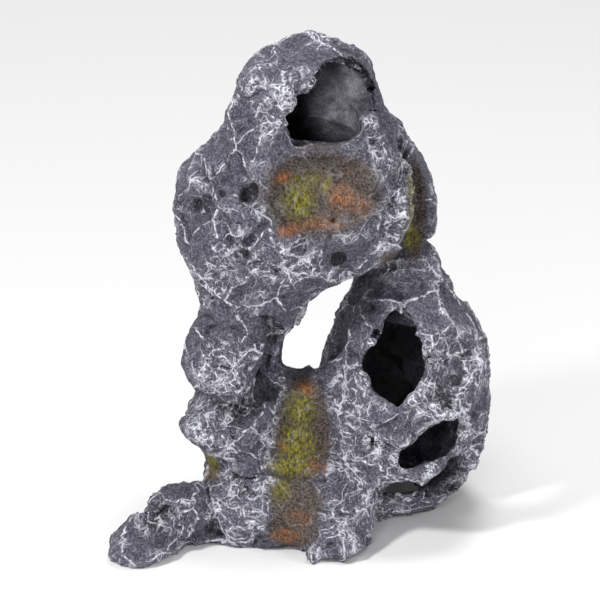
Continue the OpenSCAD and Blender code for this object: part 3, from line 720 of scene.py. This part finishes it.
def hollowed(fields, name, height):
    """The relief of scooped cells, with ridges left between them."""
    depth = FLOOR_DEPTH + FLOOR_BY_LEVEL * fields[name + "_level"] + FLOOR_BY_TILT * fields[name + "_tilt"]
    sides = 1 - np.exp(-FLOOR_STEEP * fields[name + "_edge"])
    return height * (RIDGE_LIFT - np.maximum(depth, FLOOR_LEAST) * sides)


def relief_of(skin, fields, shut):
    """How far each point moves: less in caves, on glazed panels and on thin rims."""
    worn = patch(skin, skin.tree(), BROWN + RIMS, FIRM)
    open_air = 1 - eased(shut, *INDOORS)
    rough = eased(fields["where"], *ROUGH)
    relief = hollowed(fields, "scoop", SCOOP_H)
    relief += hollowed(fields, "chip", CHIP_H) * (0.3 + 0.7 * rough)
    relief += FOLD_H * (fields["folds"] - FOLD_LEVEL) * (0.4 + 0.6 * rough)
    relief += GRAIN_H * (fields["grain"] * 2 - 1)
    relief *= CAVE_KEEPS + (1 - CAVE_KEEPS) * open_air
    relief *= 1 - WORN_LOSES * np.minimum(worn, 1)
    return relief + LUMP_H * (fields["lumps"] * 2 - 1)


def fused_skin():
    """The rock's skin as one mesh, with the marks that its paint goes by."""
    skin, mesh, coarse_mesh = shaped_skin()
    shut = shut_in(coarse_mesh, skin)
    relief = relief_of(skin, sampled(moved(mesh, skin.co)), shut)
    skin.push(relief)
    skin.co[:, 2] = np.maximum(skin.co[:, 2], 0)
    moved(mesh, skin.co)
    tree = skin.tree()
    marks = {
        "crest": skin.bulge(3) / MM,
        "crest_wide": skin.bulge(24) / MM,
        "shut": shut,
        "relief": relief / MM,
        # Spots of painted light, then of painted shade, on the cave walls
        "painted_light": patch(skin, tree, LIT_WALL_SPOTS, FIRM),
        "dark": patch(skin, tree, SHADED_WALL_SPOTS, FIRM),
        "moss": patch(skin, tree, MOSS),
        "rust": patch(skin, tree, RUST),
        "brown": patch(skin, tree, BROWN, FIRM),
        "thick": patch(skin, tree, THICK, FIRM) - patch(skin, tree, BARE, FIRM),
    }
    marks["kept"] = np.ones(len(skin.co))
    for name, mark in marks.items():
        mesh.attributes.new(name, "FLOAT", "POINT").data.foreach_set("value", mark.astype(np.float32))
    return mesh


def casting_boxes():
    """The box of each casting, from the flats of the solids, in the order in which they are cut off."""
    low, high = {}, {}
    for name in CASTINGS:
        low[name], high[name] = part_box(name)
    foot_x = high["left_foot"][0]
    apron_x0, apron_z = low["moss_apron"][0], high["moss_apron"][2]
    toe_x0, toe_x1 = low["base_toe"][0], high["base_toe"][0]
    niche_x0, niche_x1, niche_z = low["moss_niche"][0], high["moss_niche"][0], high["moss_niche"][2]
    knuckle_z, shaft_z, head_z = low["column_knuckle"][2], low["column_shaft"][2], low["head_front"][2]
    slot_z = (high["base_lip"][2] + low["cave_front"][2]) / 2
    window_x = (niche_x0 + niche_x1) / 2
    rear_y, cave_z, rear_z = low["cave_rear"][1], high["cave_rear"][2], low["head_rear"][2]
    slab_z0, slab_y, slab_z1 = low["column_slab"][2], high["column_slab"][1], high["column_slab"][2]
    neck_x = high["head_front"][0] / 2
    far = 1.0
    return [
        ("head_peak", (-far, -far, low["head_peak"][2]), (far, far, far)),
        ("left_foot", (-far, -far, -far), (foot_x, far, knuckle_z)),
        ("column_slab", (-far, -far, slab_z0), (niche_x0, slab_y, slab_z1)),
        ("moss_apron", (apron_x0, -far, -far), (toe_x0, rear_y, apron_z)),
        ("base_toe", (toe_x0, -far, -far), (toe_x1, rear_y, apron_z)),
        ("base_lip", (toe_x1, -far, -far), (far, rear_y, slot_z)),
        ("moss_niche", (niche_x0, -far, apron_z), (niche_x1, rear_y, niche_z + NICHE_ABOVE)),
        ("column_base", (-far, -far, -far), (apron_x0, far, knuckle_z)),
        ("column_knuckle", (-far, -far, knuckle_z), (window_x, far, shaft_z)),
        ("column_shaft", (-far, -far, shaft_z), (window_x, far, head_z)),
        ("cave_front", (-far, -far, -far), (far, rear_y, cave_z)),
        ("cave_rear", (-far, -far, -far), (far, far, cave_z)),
        ("neck", (neck_x, -far, cave_z), (far, far, rear_z)),
        ("head_rear", (-far, rear_y, rear_z), (far, far, far)),
    ]


def cut(mesh, box, operation):
    """A mesh cut with a box."""
    piece = object_of(mesh, "piece")
    modifier = piece.modifiers.new("cut", "BOOLEAN")
    modifier.object = box
    modifier.operation = operation
    modifier.solver = "MANIFOLD"
    modifier.material_mode = "TRANSFER"
    out = evaluated(piece)
    bpy.data.objects.remove(piece)
    return out


def box_between(low, high, material):
    mesh = bpy.data.meshes.new("box")
    form = bmesh.new()
    bmesh.ops.create_cube(form, size=1.0)
    low, high = Vector(low), Vector(high)
    for vertex in form.verts:
        vertex.co = Vector([(a + b) / 2 + c * (b - a) for a, b, c in zip(low, high, vertex.co)])
    form.to_mesh(mesh)
    form.free()
    mesh.materials.append(material)
    return object_of(mesh, "box")


def castings(skin, resin):
    """The skin as one closed mesh for each casting."""
    pieces = {}
    for name, low, high in casting_boxes():
        box = box_between(low, high, resin)
        pieces[name] = cut(skin, box, "INTERSECT")
        skin = cut(skin, box, "DIFFERENCE")
        bpy.data.objects.remove(box)
    pieces["head_front"] = skin
    return pieces


def flaps(form):
    """The triangles that lie on each other, back to back."""
    found = {}
    for face in form.faces:
        if len(face.verts) == 3:
            corners = frozenset(tuple(round(c / NEEDLE) for c in vertex.co) for vertex in face.verts)
            found.setdefault(corners, []).append(face)
    return [face for faces in found.values() if len(faces) > 1 for face in faces]


def crumbs(form):
    """The points of islands that are too small to see."""
    out = []
    left = set(form.verts)
    while left:
        island = [left.pop()]
        for vertex in island:
            beside = [edge.other_vert(vertex) for edge in vertex.link_edges]
            new = [other for other in beside if other in left]
            left.difference_update(new)
            island.extend(new)
        if len(island) < CRUMB_POINTS:
            out.extend(island)
    return out


def closed(mesh):
    """Takes out the flaps, needle faces and crumbs that the cuts leave behind."""
    form = bmesh.new()
    form.from_mesh(mesh)
    capped = [face for face in form.faces if face.material_index or len(face.verts) > 4]
    bmesh.ops.triangulate(form, faces=capped)
    bmesh.ops.delete(form, geom=flaps(form), context="FACES")
    bmesh.ops.remove_doubles(form, verts=form.verts, dist=NEEDLE)
    bmesh.ops.dissolve_degenerate(form, edges=form.edges, dist=NEEDLE)
    bmesh.ops.delete(form, geom=flaps(form), context="FACES")
    bmesh.ops.delete(form, geom=crumbs(form), context="VERTS")
    form.to_mesh(mesh)
    form.free()


def mended(mesh, lookup, marks):
    """Gives the points on a cut the marks of the nearest point of the whole skin, and sharp edges."""
    kept = values(mesh.attributes["kept"].data, "value")
    co = values(mesh.vertices, "co", 3)
    lost = np.flatnonzero(kept < 0.999)
    nearest = [lookup.find(co[i])[1] for i in lost]
    for name, mark in marks.items():
        value = values(mesh.attributes[name].data, "value", kind=np.float32)
        value[lost] = mark[nearest]
        mesh.attributes[name].data.foreach_set("value", value)
    face_material = values(mesh.polygons, "material_index", kind=np.int32)
    corner_material = np.repeat(face_material, values(mesh.polygons, "loop_total", kind=np.int32))
    corner_edge = values(mesh.loops, "edge_index", kind=np.int32)
    least = np.ones(len(mesh.edges), np.int64)
    most = np.zeros(len(mesh.edges), np.int64)
    np.minimum.at(least, corner_edge, corner_material)
    np.maximum.at(most, corner_edge, corner_material)
    mesh.shade_smooth()
    mesh.polygons.foreach_set("use_smooth", face_material == 0)
    mesh.edges.foreach_set("use_edge_sharp", least != most)
    mesh.update()


class RockPaint(Graph):
    """The layers of the rock's paint, with painted shade and painted light among them, and the noises and
    marks that they share.
    """

    def __init__(self, tree):
        super().__init__(tree)
        place = self.node("ShaderNodeTexCoord").outputs["Object"]
        upright = self.vector("MULTIPLY", place, (1.0, 1.0, 0.5))
        self.ragged = bent(self, place)
        self.grain = self.noise(place, PAINT_GRAIN, 3.0, 0.6)
        self.patchy = self.noise(place, PAINT_PATCH, 4.0, 0.65)
        self.specks = self.noise(place, SPECK, 2.0, 0.6)
        self.streaks = self.noise(upright, STREAK, 4.0, 0.65)
        self.cloud = self.noise(place, CLOUD, 3.0)
        self.broken = self.noise(place, BREAK, 4.0, 0.65)
        self.shut = self.mark("shut")
        # Where cave walls get painted light, and where they get painted shade
        self.painted_light = self.mark("painted_light")
        self.dark = self.mark("dark")
        self.indoors = self.ramp(self.shut, *INDOORS)
        self.brushed = self.ramp(self.grain, 0.3, 0.6, 0.25, 1.0)
        lace = self.times(self.line(LACE, 0.6 * MM), self.ramp(self.broken, 0.46, 0.56))
        rims = self.times(self.line(CHIP, 0.65 * MM), self.ramp(self.patchy, 0.42, 0.54))
        self.net = self.most(lace, rims)

    def mark(self, attribute):
        return self.node("ShaderNodeAttribute", attribute_name=attribute).outputs["Fac"]

    def rest(self, value):
        """What a value leaves of 1."""
        return self.math("SUBTRACT", 1.0, value, clamp=True)

    def line(self, size, width):
        """1 on the ragged borders of cells, and 0 from a width away."""
        border = self.borders(self.ragged, size)
        ragged_by = self.times(self.math("SUBTRACT", self.grain, 0.5), LINE_RAGGED)
        away = self.math("ADD", self.times(border, size), ragged_by)
        return self.ramp(away, 0.2 * width, width, 1.0, 0.0)

    def slate_and_shade(self):
        """Cloudy, grained slate, darker in hollows and nooks: partly the dark wash of the paint, partly
        painted shade.
        """
        broken = self.times(self.ramp(self.broken, 0.3, 0.7), 0.5)
        cloudy = self.times(self.ramp(self.cloud, 0.35, 0.65), 0.5)
        color = self.mix(self.math("ADD", broken, cloudy), SLATE_DEEP, SLATE_PALE)
        color = self.mix(self.ramp(self.grain, 0.42, 0.7), color, SLATE_GRAIN)
        # Painted shade where the skin lies low, with the dark wash: first the hollows, then the nooks
        hollow_shade = self.ramp(self.mark("crest_wide"), -0.1, -1.5)
        hollow_shade = self.most(hollow_shade, self.ramp(self.mark("relief"), -1.0, -5.0))
        color = self.mix(self.times(hollow_shade, 0.7), color, HOLLOW_SHADE)
        nook_shade = self.ramp(self.mark("crest"), -0.06, -0.4)
        return self.mix(self.times(nook_shade, 0.75), color, NOOK_SHADE)

    def glaze(self, under, attribute, low, high, noise, shades):
        """A see-through layer of two shades with a ragged border."""
        spread = self.times(self.math("SUBTRACT", self.broken, 0.5), 1.4)
        spread = self.math("ADD", spread, self.times(self.math("SUBTRACT", self.streaks, 0.5), 0.9))
        cover = self.times(self.mark(attribute), self.math("ADD", 1.0, spread))
        color = self.mix(self.ramp(noise, 0.34, 0.66), *shades)
        return self.mix(self.times(self.ramp(cover, low, high), 0.9), under, color)

    def glazes(self, under):
        color = self.glaze(under, "brown", 0.15, 0.7, self.grain, MUD)
        color = self.glaze(color, "moss", 0.25, 1.2, self.streaks, GREEN)
        return self.glaze(color, "rust", 0.3, 1.3, self.streaks, ORANGE)

    def dry_brushed(self, under):
        """White on the crackle, the ridges and the crests, and in specks."""
        thick = self.times(self.mark("thick"), 0.8)
        zone = self.math("ADD", self.ramp(self.cloud, 0.4, 0.64), thick, clamp=True)
        fine = self.times(self.line(FINE_LACE, 0.5 * MM), self.ramp(self.broken, 0.47, 0.6), 0.5)
        lines = self.times(self.most(self.net, fine), self.ramp(zone, 0.0, 1.0, 0.08, 1.0))
        ridge = self.times(self.line(SCOOP, 0.8 * MM), self.ramp(self.patchy, 0.4, 0.52), 0.9)
        ridge = self.times(ridge, self.ramp(self.broken, 0.36, 0.48))
        crest = self.times(self.ramp(self.mark("crest"), 0.3, 0.9), self.ramp(self.grain, 0.4, 0.6), 0.7)
        stipple = self.times(self.ramp(self.specks, 0.55, 0.7), self.ramp(zone, 0.0, 1.0, 0.08, 0.4))
        white = self.most(lines, ridge, crest, stipple)
        outdoors = self.rest(self.most(self.indoors, self.painted_light, self.dark))
        unglazed = self.ramp(self.mark("brown"), 0.1, 0.6, 1.0, 0.15)
        return self.mix(self.times(white, self.brushed, outdoors, unglazed), under, BRUSHED_WHITE)

    def cave_light_and_shade(self, under):
        """Painted light: pale rock on the cave walls that the camera sees, in place of light that does not
        reach them; painted shade: black on the other cave walls.
        """
        # Painted light on the cave walls that the camera sees
        lit_wall = self.mix(self.ramp(self.broken, 0.36, 0.64), LIT_WALL_DEEP, LIT_WALL_PALE)
        lit_wall = self.mix(self.times(self.ramp(self.grain, 0.5, 0.36), 0.5), lit_wall, LIT_WALL_GRAIN)
        lit_wall = self.mix(self.times(self.net, self.brushed, 0.8), lit_wall, LIT_WALL_WHITE)
        color = self.mix(self.times(self.painted_light, self.indoors, 0.9), under, lit_wall)
        # Painted shade: black where rock shuts a point in, and on the listed walls
        painted_shade = self.times(self.ramp(self.shut, 0.55, 0.8), self.rest(self.painted_light))
        painted_shade = self.most(painted_shade, self.times(self.dark, self.ramp(self.shut, 0.35, 0.5)))
        return self.mix(self.times(painted_shade, 0.95), color, SHADE_BLACK)

    def bump(self):
        height = self.math("ADD", self.times(self.net, 0.6), self.grain)
        height = self.math("ADD", height, self.times(self.specks, 0.4))
        inputs = {"Strength": 0.9, "Distance": 1.0 * MM, "Height": height}
        return self.node("ShaderNodeBump", inputs).outputs[0]


def rock_paint(name):
    material = bpy.data.materials.new(name)
    material.use_nodes = True
    paint = RockPaint(material.node_tree)
    shader = material.node_tree.nodes["Principled BSDF"]
    color = paint.cave_light_and_shade(paint.dry_brushed(paint.glazes(paint.slate_and_shade())))
    paint.set(shader.inputs["Base Color"], color)
    paint.set(shader.inputs["Normal"], paint.bump())
    shader.inputs["Roughness"].default_value = 0.7
    shader.inputs["Specular IOR Level"].default_value = 0.2
    return material


def plain_resin(name, color, wave):
    material = bpy.data.materials.new(name)
    material.use_nodes = True
    g = Graph(material.node_tree)
    shader = material.node_tree.nodes["Principled BSDF"]
    place = g.node("ShaderNodeTexCoord").outputs["Object"]
    cloud = g.noise(place, wave, 4.0)
    darker = tuple(c * 0.8 for c in color)
    g.set(shader.inputs["Base Color"], g.mix(cloud, darker, color))
    shader.inputs["Roughness"].default_value = 0.6
    bump = g.node("ShaderNodeBump", {"Strength": 0.2, "Distance": 0.2 * MM, "Height": cloud})
    g.set(shader.inputs["Normal"], bump.outputs[0])
    return material


def plain_sight(g):
    """1 for the rays that show the white background: to the camera, in gloss and through glass."""
    path = g.node("ShaderNodeLightPath").outputs
    return g.most(path["Is Camera Ray"], path["Is Glossy Ray"], path["Is Transmission Ray"])


def photo_camera():
    lens = bpy.data.cameras.new("camera")
    lens.sensor_width = SENSOR
    lens.lens = SENSOR * CAMERA_DISTANCE / (PHOTO_SIDE * PIXEL)
    camera = object_of(lens, "camera")
    camera.location = EYE
    camera.rotation_euler = (TARGET - EYE).to_track_quat("-Z", "Y").to_euler()
    bpy.context.scene.camera = camera


def surroundings():
    world = bpy.data.worlds.new("studio")
    bpy.context.scene.world = world
    world.use_nodes = True
    g = Graph(world.node_tree)
    surface = world.node_tree.nodes["World Output"].inputs["Surface"]
    light = g.node("ShaderNodeBackground", {"Color": (1, 1, 1, 1), "Strength": WORLD_LIGHT}).outputs[0]
    white = g.node("ShaderNodeBackground", {"Color": (1, 1, 1, 1), "Strength": 1.0}).outputs[0]
    g.set(surface, g.node("ShaderNodeMixShader", {0: plain_sight(g), 1: light, 2: white}).outputs[0])


def lamps():
    for name, place, side, power in LAMPS:
        lamp = bpy.data.lights.new(name, "AREA")
        lamp.size = side
        lamp.energy = power
        holder = object_of(lamp, name)
        holder.location = place
        holder.rotation_euler = (TARGET - Vector(place)).to_track_quat("-Z", "Y").to_euler()


def floor():
    mesh = bpy.data.meshes.new("floor")
    form = bmesh.new()
    bmesh.ops.create_circle(form, cap_ends=True, segments=96, radius=FLOOR_RADIUS)
    form.to_mesh(mesh)
    form.free()
    piece = object_of(mesh, "floor")
    material = bpy.data.materials.new("floor")
    material.use_nodes = True
    g = Graph(material.node_tree)
    surface = material.node_tree.nodes["Material Output"].inputs["Surface"]
    pale = g.node("ShaderNodeBsdfDiffuse", {"Color": (FLOOR_GREY, FLOOR_GREY, FLOOR_GREY, 1)}).outputs[0]
    white = g.node("ShaderNodeEmission", {"Strength": 1.0}).outputs[0]
    place = g.node("ShaderNodeTexCoord").outputs["Object"]
    away = g.node("ShaderNodeVectorMath", {0: place}, operation="LENGTH").outputs["Value"]
    share = g.times(plain_sight(g), g.ramp(away, FLOOR_WHITE_FROM, FLOOR_WHITE_TO), FLOOR_WHITE)
    g.set(surface, g.node("ShaderNodeMixShader", {0: share, 1: pale, 2: white}).outputs[0])
    mesh.materials.append(material)
    piece.location.z = -FLOOR_DROP


bpy.context.scene.view_settings.view_transform = "Standard"
photo_camera()
surroundings()
lamps()
floor()
whole = fused_skin()
whole.materials.append(rock_paint("rock_paint"))
marks = {name: values(whole.attributes[name].data, "value", kind=np.float32) for name in MARKS}
lookup = lookup_of(values(whole.vertices, "co", 3))
for node, mesh in castings(whole, plain_resin("bare_resin", BARE_RESIN, 6 * MM)).items():
    closed(mesh)
    mended(mesh, lookup, marks)
    piece = object_of(mesh, node + "_cast")
    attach(piece, BODY)
    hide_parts(node)
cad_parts[PINS].data.materials.clear()
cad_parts[PINS].data.materials.append(plain_resin("pin_resin", PIN_RESIN, 4 * MM))
